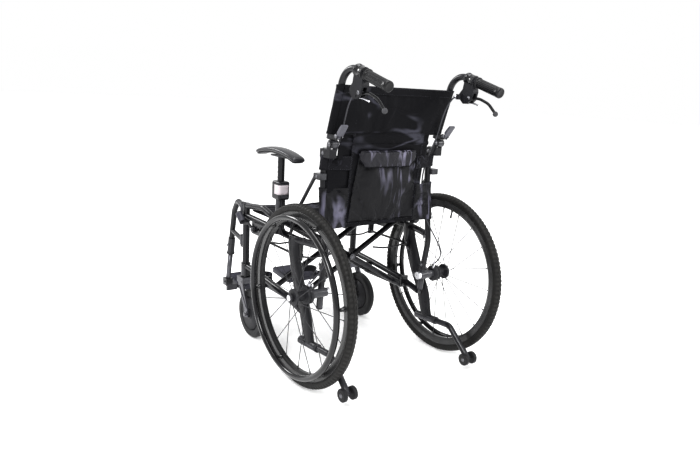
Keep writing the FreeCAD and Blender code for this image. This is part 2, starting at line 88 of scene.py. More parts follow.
def shade(name, color, rough, metal=0.0, spec=0.5, coat=0.0, grain=900, grain_bump=0.05, cloud=18,
          tint=(1.5, 1.5, 1.6), tint_amount=0.35, rough_span=0.12, edge_wear_and_highlight=None, sheen=0.0, scratch=0.0):
    """A solid finish: cloudy tint, fine grain in bump and roughness, and lighter edges, which are edge wear on
    most finishes and a painted highlight on the tyre.
    """
    mat = bpy.data.materials.new(name)
    mat.use_nodes = True
    nt = mat.node_tree
    N, L = nt.nodes, nt.links
    bsdf = N["Principled BSDF"]
    dial(bsdf, Metallic=metal, Specular_IOR_Level=spec * (1 if metal else 0.6), Coat_Weight=coat * 0.6,
         Coat_Roughness=0.12)
    if sheen:
        dial(bsdf, Sheen_Weight=sheen, Sheen_Roughness=0.4)
    co = new_node(N, "TexCoord")
    big = new_node(N, "TexNoise", Scale=cloud, Detail=5)
    L.new(co.outputs["Object"], big.inputs["Vector"])
    fine = new_node(N, "TexNoise", Scale=grain, Detail=3)
    L.new(co.outputs["Object"], fine.inputs["Vector"])
    ramp = new_node(N, "ValToRGB")
    ramp.color_ramp.elements[0].position = 0.35
    ramp.color_ramp.elements[1].position = 0.72
    ramp.color_ramp.elements[0].color = (*color, 1)
    ramp.color_ramp.elements[1].color = (*[c * (1 + (t - 1) * tint_amount * 2) for c, t in zip(color, tint)], 1)
    L.new(big.outputs["Fac"], ramp.inputs["Fac"])
    colour = ramp.outputs["Color"]
    # lighter colour on convex edges: edge wear, and on the tyre a painted brown-grey highlight
    if edge_wear_and_highlight:
        geo = new_node(N, "NewGeometry")
        edge = new_node(N, "MapRange", From_Min=0.52, From_Max=0.62)
        L.new(geo.outputs["Pointiness"], edge.inputs["Value"])
        mul = new_node(N, "Math", "MULTIPLY")
        L.new(edge.outputs["Result"], mul.inputs[0])
        L.new(big.outputs["Fac"], mul.inputs[1])
        mix = new_node(N, "Mix")
        mix.data_type = "RGBA"
        L.new(mul.outputs[0], mix.inputs["Factor"])
        L.new(colour, mix.inputs[6])
        mix.inputs[7].default_value = (*edge_wear_and_highlight, 1)
        colour = mix.outputs[2]
    L.new(colour, bsdf.inputs["Base Color"])
    rr = new_node(N, "MapRange", To_Min=max(0.03, rough - rough_span), To_Max=min(1, rough + rough_span))
    L.new(big.outputs["Fac"], rr.inputs["Value"])
    L.new(rr.outputs["Result"], bsdf.inputs["Roughness"])
    bump = new_node(N, "Bump", Strength=grain_bump, Distance=0.0006)
    height = fine.outputs["Fac"]
    if scratch:
        st = new_node(N, "Mapping", Scale=(60, 900, 900))
        L.new(co.outputs["Object"], st.inputs["Vector"])
        sn = new_node(N, "TexNoise", Scale=1.0)
        L.new(st.outputs["Vector"], sn.inputs["Vector"])
        add = new_node(N, "Math", "MULTIPLY_ADD")
        L.new(sn.outputs["Fac"], add.inputs[0])
        add.inputs[1].default_value = scratch
        L.new(height, add.inputs[2])
        height = add.outputs[0]
    L.new(height, bump.inputs["Height"])
    L.new(bump.outputs["Normal"], bsdf.inputs["Normal"])
    return mat


def cloth_mat(name, dark, crease_highlight_colour, yarn=2.2, crease=14, stretch=(1, 1, 1), rough=0.62, sheen=0.06, amount=0.6,
              weave_bump=0.35, spec=0.16):
    """Woven nylon: crossed yarns in bump and colour, creases in bump with a painted grey-violet highlight along
    their ridges, soft sheen.
    """
    mat = bpy.data.materials.new(name)
    mat.use_nodes = True
    nt = mat.node_tree
    N, L = nt.nodes, nt.links
    bsdf = N["Principled BSDF"]
    dial(bsdf, Sheen_Weight=sheen, Sheen_Roughness=0.35, Sheen_Tint=(0.75, 0.75, 0.9, 1),
         Specular_IOR_Level=spec)
    co = new_node(N, "TexCoord")
    waves = []
    for axis in ("X", "Z"):
        w = new_node(N, "TexWave", Scale=314.0 / yarn, Distortion=0.6, Detail=1)
        w.bands_direction = axis
        L.new(co.outputs["Object"], w.inputs["Vector"])
        waves.append(w)
    weave = new_node(N, "Math", "MULTIPLY")
    L.new(waves[0].outputs["Fac"], weave.inputs[0])
    L.new(waves[1].outputs["Fac"], weave.inputs[1])
    st = new_node(N, "Mapping", Scale=stretch)
    L.new(co.outputs["Object"], st.inputs["Vector"])
    folds = new_node(N, "TexNoise", Scale=crease, Detail=2.5, Distortion=0.4)
    L.new(st.outputs["Vector"], folds.inputs["Vector"])
    off = new_node(N, "Math", "SUBTRACT")
    L.new(folds.outputs["Fac"], off.inputs[0])
    off.inputs[1].default_value = 0.5
    ridge = new_node(N, "Math", "ABSOLUTE")
    L.new(off.outputs[0], ridge.inputs[0])
    patch = new_node(N, "TexNoise", Scale=9, Detail=2)
    L.new(co.outputs["Object"], patch.inputs["Vector"])
    rmap = new_node(N, "MapRange", From_Min=0.045, From_Max=0.004, To_Max=1.0)
    rmap.interpolation_type = "SMOOTHSTEP"
    L.new(ridge.outputs[0], rmap.inputs["Value"])
    pmap = new_node(N, "MapRange", From_Min=0.45, From_Max=0.62, To_Max=amount)
    L.new(patch.outputs["Fac"], pmap.inputs["Value"])
    crease_highlight_mask = new_node(N, "Math", "MULTIPLY")
    L.new(rmap.outputs["Result"], crease_highlight_mask.inputs[0])
    L.new(pmap.outputs["Result"], crease_highlight_mask.inputs[1])
    yarnmix = new_node(N, "Mix")
    yarnmix.data_type = "RGBA"
    yarnmix.inputs[6].default_value = (*[c * 0.7 for c in dark], 1)
    yarnmix.inputs[7].default_value = (*[c * 1.35 for c in dark], 1)
    L.new(weave.outputs[0], yarnmix.inputs["Factor"])
    # painted highlight: the lighter grey-violet second colour is mixed in along crease ridges, within noise
    # patches
    mix = new_node(N, "Mix")
    mix.data_type = "RGBA"
    mix.inputs[7].default_value = (*crease_highlight_colour, 1)
    L.new(crease_highlight_mask.outputs[0], mix.inputs["Factor"])
    L.new(yarnmix.outputs[2], mix.inputs[6])
    L.new(mix.outputs[2], bsdf.inputs["Base Color"])
    rr = new_node(N, "MapRange", To_Min=rough + 0.08, To_Max=rough - 0.18)
    L.new(crease_highlight_mask.outputs[0], rr.inputs["Value"])
    L.new(rr.outputs["Result"], bsdf.inputs["Roughness"])
    b1 = new_node(N, "Bump", Strength=weave_bump, Distance=0.0004)
    L.new(weave.outputs[0], b1.inputs["Height"])
    b2 = new_node(N, "Bump", Strength=0.5, Distance=0.003)
    L.new(rmap.outputs["Result"], b2.inputs["Height"])
    L.new(b1.outputs["Normal"], b2.inputs["Normal"])
    L.new(b2.outputs["Normal"], bsdf.inputs["Normal"])
    return mat


M = {
    "frame": shade("frame_black", (0.010, 0.010, 0.012), 0.30, spec=0.5, coat=0.35, edge_wear_and_highlight=(0.10, 0.10, 0.11),
                   grain=2400),
    "steel": shade("bare_steel", (0.62, 0.62, 0.64), 0.28, metal=1.0, scratch=0.6, edge_wear_and_highlight=(0.85, 0.85, 0.86)),
    "silver": shade("silver_paint", (0.085, 0.085, 0.093), 0.34, metal=0.6, coat=0.2, edge_wear_and_highlight=(0.24, 0.24, 0.25)),
    "spoke": shade("spoke_steel", (0.018, 0.018, 0.020), 0.45, metal=0.0, spec=0.3, edge_wear_and_highlight=(0.09, 0.09, 0.095)),
    "dull": shade("dull_steel", (0.15, 0.15, 0.157), 0.38, metal=1.0, scratch=0.5, edge_wear_and_highlight=(0.36, 0.36, 0.37)),
    "rim": shade("rim_black", (0.010, 0.010, 0.011), 0.24, coat=0.5, edge_wear_and_highlight=(0.08, 0.08, 0.08)),
    "gloss": shade("gloss_black", (0.008, 0.008, 0.009), 0.14, coat=0.6, spec=0.6, grain_bump=0.02),
    "plastic": shade("black_plastic", (0.014, 0.014, 0.016), 0.46, grain=1500, grain_bump=0.22,
                     edge_wear_and_highlight=(0.07, 0.07, 0.075)),
    "grey": shade("grey_plastic", (0.042, 0.042, 0.052), 0.40, grain=1500, grain_bump=0.2,
                  edge_wear_and_highlight=(0.16, 0.16, 0.18)),
    "foot": shade("foot_plastic", (0.020, 0.020, 0.026), 0.40, grain=1200, grain_bump=0.25,
                  edge_wear_and_highlight=(0.12, 0.12, 0.15)),
    "pad": shade("arm_pad_skin", (0.030, 0.030, 0.033), 0.30, coat=0.25, grain=700, grain_bump=0.35,
                 tint_amount=0.2),
    "grip": shade("grip_rubber", (0.010, 0.010, 0.011), 0.33, coat=0.15, grain=1800, grain_bump=0.2),
    "castor": shade("castor_rubber", (0.016, 0.016, 0.017), 0.55, grain=1300, grain_bump=0.25,
                    edge_wear_and_highlight=(0.06, 0.06, 0.06)),
    # the tyre's lighter edge colour is a painted brown-grey highlight along its tread and sidewall edges
    "tyre": shade("tyre_rubber", (0.0085, 0.0083, 0.0082), 0.52, grain=1500, grain_bump=0.4, cloud=30,
                  tint=(2.0, 1.9, 1.8), edge_wear_and_highlight=(0.075, 0.072, 0.068)),
    "cable": shade("cable_sheath", (0.045, 0.045, 0.050), 0.35, coat=0.2, grain=2000),
    "ball": shade("lever_ball", (0.055, 0.055, 0.058), 0.45, grain=1500),
    "tube": shade("extension_grey", (0.060, 0.060, 0.068), 0.30, metal=0.5, scratch=0.5, edge_wear_and_highlight=(0.2, 0.2, 0.21)),
    "label": shade("label_plate", (0.52, 0.48, 0.50), 0.45, grain=1500, tint=(1.1, 1.1, 1.1)),
    "thread": shade("thread", (0.045, 0.045, 0.055), 0.7, grain=4000, grain_bump=0.5, sheen=0.3),
    # the second colour of each cloth is a painted grey-violet highlight laid along its crease ridges
    "nylon": cloth_mat("nylon_weave", (0.0065, 0.0065, 0.0085), (0.085, 0.085, 0.11), crease=9,
                       stretch=(0.45, 1, 1.5)),
    "pocket": cloth_mat("nylon_pocket", (0.0055, 0.0055, 0.0075), (0.16, 0.155, 0.21), crease=9,
                        stretch=(1.6, 1, 0.45),
                        rough=0.46, amount=0.8, spec=0.3),
    "flap": cloth_mat("nylon_flap", (0.013, 0.0125, 0.018), (0.22, 0.21, 0.28), crease=13,
                      stretch=(2.2, 1, 0.5),
                      rough=0.40, amount=0.9, spec=0.4),
    "strap": cloth_mat("webbing", (0.012, 0.012, 0.015), (0.05, 0.05, 0.065), yarn=3.2, crease=20,
                       weave_bump=0.7),
}
SLOTS = {"frame_black": "frame", "bare_steel": "steel", "silver_paint": "silver", "rim_black": "rim",
         "gloss_black": "gloss", "black_plastic": "plastic", "grey_plastic": "grey", "foot_plastic": "foot",
         "pad_black": "pad", "grip_rubber": "grip", "castor_rubber": "castor", "tyre": "tyre",
         "cable_sheath": "cable", "nylon": "nylon"}
slot_of = {s["node"]: s["material_slot"] for s in frame["record"]["subparts"]}
OWN = {"left_spokes": "spoke", "right_spokes": "spoke", "left_anti_tip_wheels": "castor",
       "right_anti_tip_wheels": "castor",
       "left_links": "frame", "right_links": "frame"}
for node, obj in frame["nodes"].items():
    for s in obj.material_slots:
        s.material = M[OWN.get(node, SLOTS[slot_of[node]])]


# ---- mesh helpers ------------------------------------------------------------------------------

def mesh_object(name, verts, faces, mat, smooth_shade=True):
    me = bpy.data.meshes.new(name)
    me.from_pydata([tuple(v) for v in verts], [], faces)
    me.update()
    bm = bmesh.new()
    bm.from_mesh(me)
    bmesh.ops.remove_doubles(bm, verts=bm.verts, dist=1e-6)
    bmesh.ops.recalc_face_normals(bm, faces=bm.faces)
    bm.to_mesh(me)
    bm.free()
    ob = bpy.data.objects.new(name, me)
    scene.collection.objects.link(ob)
    me.materials.append(M[mat])
    if smooth_shade:
        me.polygons.foreach_set("use_smooth", [True] * len(me.polygons))
    return ob


def grid(name, us, vs, point, mat, wrap=False):
    verts = [point(u, v) for v in vs for u in us]
    n = len(us)
    faces = []
    for j in range(len(vs) - 1):
        for i in range(n if wrap else n - 1):
            k = (i + 1) % n
            faces.append((j * n + i, j * n + k, (j + 1) * n + k, (j + 1) * n + i))
    return mesh_object(name, verts, faces, mat)


def span(a, b, n):
    return [a + (b - a) * i / (n - 1) for i in range(n)]


def bake(ob):
    """Replace the object's mesh by what its modifiers make."""
    dg = bpy.context.evaluated_depsgraph_get()
    me = bpy.data.meshes.new_from_object(ob.evaluated_get(dg))
    ob.modifiers.clear()
    ob.data = me
    return ob


def thicken(ob, t, bevel=0.0, sub=0):
    m = ob.modifiers.new("t", "SOLIDIFY")
    m.thickness = t / 1000
    m.offset = 0
    if bevel:
        b = ob.modifiers.new("b", "BEVEL")
        b.width = bevel / 1000
        b.segments = 2
    if sub:
        s = ob.modifiers.new("s", "SUBSURF")
        s.levels = sub
        s.render_levels = sub
    return bake(ob)


def sweep(name, pts, profile, mat, closed_ends=True, up=Vector((1, 0, 0))):
    """Sweep a closed profile of (a, b) offsets along points; a is along up, b across it."""
    pts = [Vector(p) for p in pts]
    verts, n = [], len(profile)
    for i, p in enumerate(pts):
        t = (pts[min(i + 1, len(pts) - 1)] - pts[max(i - 1, 0)]).normalized()
        side = t.cross(up).normalized()
        a_dir = side.cross(t).normalized()
        verts += [p + a_dir * (a / 1000) + side * (b / 1000) for a, b in profile]
    faces = [(j * n + i, j * n + (i + 1) % n, (j + 1) * n + (i + 1) % n, (j + 1) * n + i)
             for j in range(len(pts) - 1) for i in range(n)]
    if closed_ends:
        faces += [tuple(range(n))[::-1], tuple(range((len(pts) - 1) * n, len(pts) * n))]
    return mesh_object(name, verts, faces, mat)


def ring_profile(r, n=16):
    return [(r * math.cos(2 * math.pi * i / n), r * math.sin(2 * math.pi * i / n)) for i in range(n)]


def lathe(name, origin, axis, profile, mat, seg=32):
    """Revolve (distance along axis, radius) in mm about axis through origin."""
    axis = Vector(axis).normalized()
    a = axis.orthogonal().normalized()
    b = axis.cross(a)
    verts = []
    for d, r in profile:
        for i in range(seg):
            t = 2 * math.pi * i / seg
            verts.append(Vector(origin) + axis * (d / 1000) + (a * math.cos(t) + b * math.sin(t)) * (r / 1000))
    faces = [(j * seg + i, j * seg + (i + 1) % seg, (j + 1) * seg + (i + 1) % seg, (j + 1) * seg + i)
             for j in range(len(profile) - 1) for i in range(seg)]
    faces += [tuple(range(seg))[::-1], tuple(range((len(profile) - 1) * seg, len(profile) * seg))]
    return mesh_object(name, verts, faces, mat)


def bolt(name, origin, axis, r, body, h=None, mat="dull", dome=False):
    """A washer under a hexagon or domed head."""
    h = h or r * 0.8
    washer = [(0, r * 1.45), (h * 0.22, r * 1.45), (h * 0.3, r * 1.3)]
    if dome:
        prof = washer + [(h * 0.3, r * 1.05), (h * 0.6, r * 0.98), (h * 0.9, r * 0.7), (h, r * 0.3), (h, 0.01)]
        ob = lathe(name, origin, axis, prof, mat, 24)
    else:
        w = lathe(name + "_washer", origin, axis, washer + [(h * 0.3, 0.01)], mat, 24)
        prof = [(h * 0.3, r), (h * 0.9, r), (h, r * 0.85), (h, 0.01)]
        ob = lathe(name, origin, axis, prof, mat, 6)
        ob.data.polygons.foreach_set("use_smooth", [False] * len(ob.data.polygons))
        ob = join(name, [ob, w])
    put(ob, body)
    return ob


def join(name, obs):
    bm = bmesh.new()
    mats = []
    for o in obs:
        base = len(mats)
        mats += list(o.data.materials)
        start = len(bm.faces)
        bm.from_mesh(o.data)
        bm.faces.ensure_lookup_table()
        for f in bm.faces[start:]:
            f.material_index += base
    me = bpy.data.meshes.new(name)
    bm.to_mesh(me)
    bm.free()
    for m in mats:
        me.materials.append(m)
    for o in obs:
        bpy.data.objects.remove(o)
    ob = bpy.data.objects.new(name, me)
    scene.collection.objects.link(ob)
    return ob


def put(ob, body):
    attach(ob, body)
    return ob


def stitches(name, lines, pitch=5.2, length=3.4, r=0.42):
    """Short thread dashes along polylines of points."""
    verts, faces = [], []
    for line in lines:
        pts = [Vector(p) for p in line]
        left = 0.0
        for a, b in zip(pts, pts[1:]):
            d = (b - a).length * 1000
            t = left
            while t + length < d:
                p = a.lerp(b, t / d)
                q = a.lerp(b, (t + length) / d)
                along = (q - p).normalized()
                s = along.orthogonal().normalized()
                u = along.cross(s)
                k = len(verts)
                for c, w in ((p, 0.5), (p.lerp(q, 0.25), 1), (p.lerp(q, 0.75), 1), (q, 0.5)):
                    for i in range(5):
                        g = 2 * math.pi * i / 5
                        verts.append(c + (s * math.cos(g) + u * math.sin(g)) * (r * w / 1000))
                for j in range(3):
                    for i in range(5):
                        faces.append((k + j * 5 + i, k + j * 5 + (i + 1) % 5, k + (j + 1) * 5 + (i + 1) % 5,
                                      k + (j + 1) * 5 + i))
                t += pitch
            left = t - d if t > d else 0.0
    return mesh_object(name, verts, faces, "thread")


SIMS = []


def relax(ob, pins, grow, pressure=0.0, cap=12.0):
    """Queue the piece for the one cloth simulation."""
    SIMS.append((ob, pins, grow, pressure, cap))


def run_cloth(frames=20):
    if not SIMS:
        return
    rest = {}
    for ob, pins, grow, pressure, cap in SIMS:
        rest[ob.name] = [v.co.copy() for v in ob.data.vertices]
        vg = ob.vertex_groups.new(name="pin")
        vg.add(pins, 1.0, "REPLACE")
        m = ob.modifiers.new("cloth", "CLOTH")
        s = m.settings
        s.vertex_group_mass = "pin"
        s.quality = 6
        s.mass = 0.12
        s.tension_stiffness = 25
        s.compression_stiffness = 25
        s.bending_stiffness = 0.35
        s.shrink_min = -grow
        s.effector_weights.gravity = 0
        if pressure:
            s.use_pressure = True
            s.uniform_pressure_force = pressure
        m.collision_settings.use_collision = False
        m.point_cache.frame_start = 1
        m.point_cache.frame_end = frames
    for f in range(1, frames + 1):
        scene.frame_set(f)
    dg = bpy.context.evaluated_depsgraph_get()
    for ob, pins, grow, pressure, cap in SIMS:
        ev = ob.evaluated_get(dg)
        now = [v.co.copy() for v in ev.data.vertices]
        ob.modifiers.clear()
        for v, a, b in zip(ob.data.vertices, rest[ob.name], now):
            d = b - a
            if d.length > cap / 1000:
                d *= cap / 1000 / d.length
            v.co = a + d
        ob.vertex_groups.clear()
    scene.frame_set(1)


# ---- tyres, rims, spokes ----------------------------------------------------------------------

SEG = 480
for s, k in (("left", 1), ("right", -1)):
    prof = [(257, -10), (260, -12.4), (264, -13.4), (270, -13.4), (273.5, -12.8), (276.4, -10.8), (278.6, -7.6),
            (279.2, -5.4),
            (278.2, -4.6), (279.6, -3.6), (280, 0), (279.6, 3.6), (278.2, 4.6), (279.2, 5.4), (278.6, 7.6),
            (276.4, 10.8),
            (273.5, 12.8), (270, 13.4), (264, 13.4), (260, 12.4), (257, 10)]

    def tyre_point(j, i):
        r, dx = prof[j]
        t = 2 * math.pi * i / SEG
        side = 1 if dx > 0 else 0
        if 5 <= abs(dx) <= 13 and r > 272:
            r -= 1.9 if (i + 2 * side) % 4 == 0 else 0
            dx -= math.copysign(0.9, dx) if (i + 2 * side) % 4 == 0 else 0
        elif abs(dx) < 4:
            r -= 0.9 if (i // 2) % 2 else 0
        return P(k * (WHEEL_X + dx), r * math.sin(t), AXLE_Z + r * math.cos(t))

    tyre = grid(f"{s}_tyre_tread", list(range(SEG)), list(range(len(prof))), lambda i, j: tyre_point(j, i),
                "tyre", wrap=True)
    put(tyre, f"{s}_wheel")
    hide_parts(f"{s}_tyre")
    beads = []
    for dx in (-9.2, 9.2):
        pts = [P(k * (WHEEL_X + dx), 256.5 * math.sin(2 * math.pi * i / 180),
                 AXLE_Z + 256.5 * math.cos(2 * math.pi * i / 180)) for i in range(181)]
        beads.append(sweep(f"{s}_bead_{dx}", pts, ring_profile(1.3, 8), "rim", False))
    put(join(f"{s}_rim_beads", beads), f"{s}_wheel")
    nip = []
    for i in range(20):
        t = 2 * math.pi * i / 20
        hub_t = t + (0.5 if i % 2 else -0.5)
        fx = 310 if i % 2 else 270
        a = P(k * fx, 23 * math.sin(hub_t), AXLE_Z + 23 * math.cos(hub_t))
        b = P(k * WHEEL_X, 236 * math.sin(t), AXLE_Z + 236 * math.cos(t))
        d = (a - b).normalized()
        nip.append(lathe(f"n{s}{i}", b - d * 0.002, d, [(0, 2.0), (11, 2.0), (14, 1.5), (14.5, 1.1)], "spoke",
                         8))
        nip.append(lathe(f"h{s}{i}", a - Vector((k * 0.0015, 0, 0)), (k, 0, 0),
                         [(0, 2.2), (2.8, 2.0), (3.2, 1.0)], "spoke", 8))
    put(join(f"{s}_nipples", nip), f"{s}_wheel")
    valve = lathe(f"{s}_valve", P(k * WHEEL_X, 234 * math.sin(0.17), AXLE_Z + 234 * math.cos(0.17)),
                  (0, -math.sin(0.17), -math.cos(0.17)),
                  [(0, 4), (6, 3.4), (7, 2.6), (20, 2.6), (21, 3.4), (29, 3.2), (30, 2)], "castor", 14)
    put(valve, f"{s}_wheel")
    cap = lathe(f"{s}_hub_cap", P(k * 321.6, 0, AXLE_Z), (k, 0, 0),
                [(0, 14.5), (1.6, 14.5), (3.0, 12.8), (3.2, 10), (3.2, 9.4)], "plastic", 32)
    put(cap, f"{s}_wheel")
    tabs = []
    for i in range(6):
        t = 2 * math.pi * (i + 0.35) / 6
        rr = 242.5
        o = P(k * 295.5, rr * math.sin(t), AXLE_Z + rr * math.cos(t))
        tabs.append(lathe(f"tab{s}{i}", o, (k, 0, 0), [(0, 8.5), (2.4, 8.2), (4, 6), (14, 5.2)], "gloss", 16))
    put(join(f"{s}_rim_tabs", tabs), f"{s}_wheel")


# ---- grips, levers, cables --------------------------------------------------------------------

SLOPE = (902 - 962) / (270 - 72)


def handle_z(y):
    return 902 + SLOPE * (y - 270)


CABLE_ROUTE = [
    (191, 93.5, 884), (191, 70, 864), (189, 50, 812), (190, 36, 760), (189, 12, 712), (190, -12, 664),
    (189, -20, 606),
    (190, -14, 546), (191, 6, 492), (199, 32, 450), (222, 46, 408), (247, 44, 362), (257.5, 22, 332),
    (257.5, 2, 314),
]

for s, k in (("left", 1), ("right", -1)):
    U = f"{s}_upper_back"
    y0, y1 = 171, 265
    a, b = P(k * 210, y0, handle_z(y0)), P(k * 210, y1, handle_z(y1))
    d = (b - a).normalized()
    side = d.cross(Vector((1, 0, 0))).normalized()
    stations = [(0, 17.0, 0), (3.5, 17.2, 0), (5, 16.4, 0), (5.6, 14.6, 0), (9, 14.5, 0)]
    length = (b - a).length * 1000
    n = 22
    for i in range(n):
        q = 12 + (length - 30) * i / (n - 1)
        stations.append((q, 14.1 + (0.35 if i % 2 else 0), 0.55))
    stations += [(length - 14, 14.4, 0), (length - 12, 15.4, 0), (length - 3, 15.4, 0), (length - 0.8, 14.3, 0),
                 (length, 11.5, 0),
                 (length - 0.8, 9.5, 0), (length - 0.8, 0.1, 0)]

    def grip_point(i, j):
        q, r, flute = stations[j]
        t = 2 * math.pi * i / 72
        r = r + flute * math.cos(18 * t)
        return a + d * (q / 1000) + (Vector((1, 0, 0)) * math.cos(t) + side * math.sin(t)) * (r / 1000)

    grip = grid(f"{s}_grip_ribbed", list(range(72)), list(range(len(stations))), grip_point, "grip", wrap=True)
    put(grip, U)
    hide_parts(f"{s}_grip")
    ball = lathe(f"{s}_lever_ball", P(k * 210, 252, 844 + 7.9), (0, 0, -1),
                 [(7.9 - 7.9 * math.cos(t), 7.9 * math.sin(t)) for t in span(0.02, math.pi - 0.02, 17)], "ball",
                 28)
    put(ball, f"{s}_brake_lever")
    for x in (198, 222):
        o = P(k * x, 150, 886)
        bolt(f"{s}_brake_pin_{x}", o, (k * (1 if x > 210 else -1), 0, 0), 4.2, U, dome=True)
    for x, sg in ((199, -1), (221, 1)):
        bolt(f"{s}_lever_rivet_{x}", P(k * x, 52, 762), (k * sg, 0, 0), 4.6, f"{s}_fold_lever", 3.4, dome=True)
    bolt(f"{s}_clamp_screw", P(k * 210 + (6 if k < 0 else -6), 143, 920 + 34), (0, 0.3, 0.95), 3.4, U, 3.2)
    ring = lathe(f"{s}_clamp_band", P(k * 210, 128, handle_z(128)), d,
                 [(0, 16.8), (0.8, 17.6), (3, 17.6), (3.8, 16.6), (29, 16.6), (29.8, 17.5), (32, 17.5),
                  (32.8, 16.7)], "gloss", 40)
    put(ring, U)
    boot = lathe(f"{s}_cable_adjuster", P(k * 191, 98, 886.2), (0, -0.95, -0.28),
                 [(-10, 4.6), (-8, 5.4), (-3, 5.4), (-2.4, 4.5), (-1.6, 5.2), (1.0, 5.2), (1.6, 3.6),
                  (4.0, 3.2)], "steel", 18)
    put(boot, U)
    cu = bpy.data.curves.new(f"{s}_route", "CURVE")
    cu.dimensions = "3D"
    sp = cu.splines.new("NURBS")
    sp.points.add(len(CABLE_ROUTE) - 1)
    for pt, (x, y, z) in zip(sp.points, CABLE_ROUTE):
        pt.co = (*P(k * x, y, z), 1)
    sp.order_u = 3
    sp.use_endpoint_u = True
    cu.resolution_u = 12
    route = bpy.data.objects.new(f"{s}_route", cu)
    scene.collection.objects.link(route)
    line = bpy.data.meshes.new_from_object(route.evaluated_get(bpy.context.evaluated_depsgraph_get()))
    path = [v.co.copy() for v in line.vertices]
    bpy.data.objects.remove(route)
    run = sum((q - p).length for p, q in zip(path, path[1:]))
    cable = sweep(f"{s}_cable", path, ring_profile(2.3, 12), "cable")
    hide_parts(f"{s}_brake_cable")
    tuple(path[0])
    [tuple(p) for p in path]
    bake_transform(cable)


# ---- fabric back ------------------------------------------------------------------------------

def back_y(z):
    return 26 + (0.2044 if z > 737 else 0.0873) * (z - 737)


def cane_y(z):
    if z > 737:
        return 8 + (z - 752) * 64 / 210
    if z > 650:
        return -18 + (z - 650) / 9
    return -18 + (650 - z) / 17.5 if z > 580 else -14 + (580 - z) * 27 / 178


def toward_cane(x, y, z, x0):
    """Bring y from the panel's own surface to the back of the cane as |x| goes from x0 to 207."""
    f = min(1, max(0, (abs(x) - x0) / (207 - x0)))
    f = f * f * (3 - 2 * f)
    return y * (1 - f) + (cane_y(z) + 12.9) * f


def soft(ob, body, squashed=True):
    put(ob, body)
    if squashed:
        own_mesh(ob)
    return ob


def crease(x, z, seed, amp, sx=0.012, sz=0.03):
    r = 1 - abs(n3(x * sx, seed, z * sz, seed)) * 2.2
    return amp * max(0, r) ** 4


def upper_point(x, z):
    sag = 5.0 - 8.0 * (1 - (x / 207) ** 2)
    pull = 1.6 * n3(x * 0.02, 1.0, z * 0.012, 3.1)
    cr = crease(x, z, 5.0, 3.0) * smooth(800, 745, z) * smooth(185, 120, abs(x))
    cr += 2.2 * math.exp(-((z - 766 - 4 * n3(x * 0.03, 4, 0)) / 2.6) ** 2) * smooth(120, 60, abs(x - 8))
    cr += 1.8 * math.exp(-((z - 748 - 5 * n3(x * 0.02, 7, 0)) / 2.4) ** 2) * smooth(125, 80, abs(x + 10))
    y = back_y(z) + sag * smooth(737, 765, z) + (sag * 0.25) * (1 - smooth(737, 765, z)) + pull * 0.6 + cr
    return P(x, toward_cane(x, y, z, 146), z)


def lower_point(x, z):
    sag = -3.0 * (1 - (x / 197) ** 2)
    cr = crease(x, z, 2.0, 1.6)
    return P(x, back_y(z) + sag * smooth(737, 700, z) + cr * smooth(737, 720, z), z)


U = "left_upper_back"
panel = grid("back_upper_sheet", span(-207, 207, 116), span(764, 904, 50), upper_point, "nylon")
relax(panel, [v.index for v in panel.data.vertices if abs(v.co.x) > 0.195 or v.co.z > 0.896 or v.co.z < 0.768],
      0.018, cap=5)
centre_top = grid("back_upper_tongue", span(-137, 140, 80), span(737, 766, 12), upper_point, "nylon")
centre = grid("back_lower_sheet", span(-137, 140, 80), span(480, 737, 70), lower_point, "nylon")


def band(name, x0, x1, z0, z1, out, mat, seed=1.0, amp=0.8, tilt=0.0, nu=40, nv=14):
    """A flat sewn piece lying out mm behind the back's surface."""
    def point(x, z):
        f = (x - x0) / (x1 - x0)
        zz = z + tilt * (f - 0.5)
        base = upper_point(x, zz) if z > 757 else lower_point(x, zz)
        return base + Vector((0, (out + amp * n3(x * 0.05, seed, z * 0.06, seed)) / 1000, 0))
    return grid(name, span(x0, x1, nu), span(z0, z1, nv), point, mat)


hem = band("back_top_hem", -207, 207, 882, 905, 0.9, "nylon", 4.0, 1.3, nu=110)
seams = [band("seam_left", 137, 145, 758, 903, 1.2, "nylon", 2.0, 0.2, nu=4, nv=50),
         band("seam_right", -134, -126, 758, 903, 1.2, "nylon", 3.0, 0.2, nu=4, nv=50),
         band("wing_hem_left", 145, 205, 764, 775, 1.0, "nylon", 3.0, 0.4, nu=20, nv=6),
         band("wing_hem_right", -205, -134, 764, 775, 1.0, "nylon", 3.3, 0.4, nu=20, nv=6)]
low_edges = [band("edge_left", 134, 141, 480, 736, 0.8, "nylon", 2.0, 0.2, nu=4, nv=60),
             band("edge_right", -138, -131, 480, 736, 0.8, "nylon", 3.0, 0.2, nu=4, nv=60),
             band("bottom_hem", -137, 140, 480, 494, 0.8, "nylon", 3.0, 0.4, nu=60, nv=6)]


def sleeve(name, k, z0, z1, body, mat="nylon", r=12.6, seed=1.0, amp=0.7, hemmed=True):
    """Fabric tunnel round a cane, open to the panel on the inner side."""
    zs = span(z0, z1, max(8, int(abs(z1 - z0) / 4)))

    def point(i, z):
        t = 2 * math.pi * i / 40
        rr = r + amp * n3(math.cos(t) * 0.9, math.sin(t) * 0.9, z * 0.035, seed)
        if hemmed and (z > z1 - 6 or z < z0 + 6):
            rr += 0.9
        return P(k * (210 + rr * math.cos(t)), cane_y(z) + rr * math.sin(t), z)

    return put(thicken(grid(name, list(range(40)), zs, point, mat, wrap=True), 1.6), body)


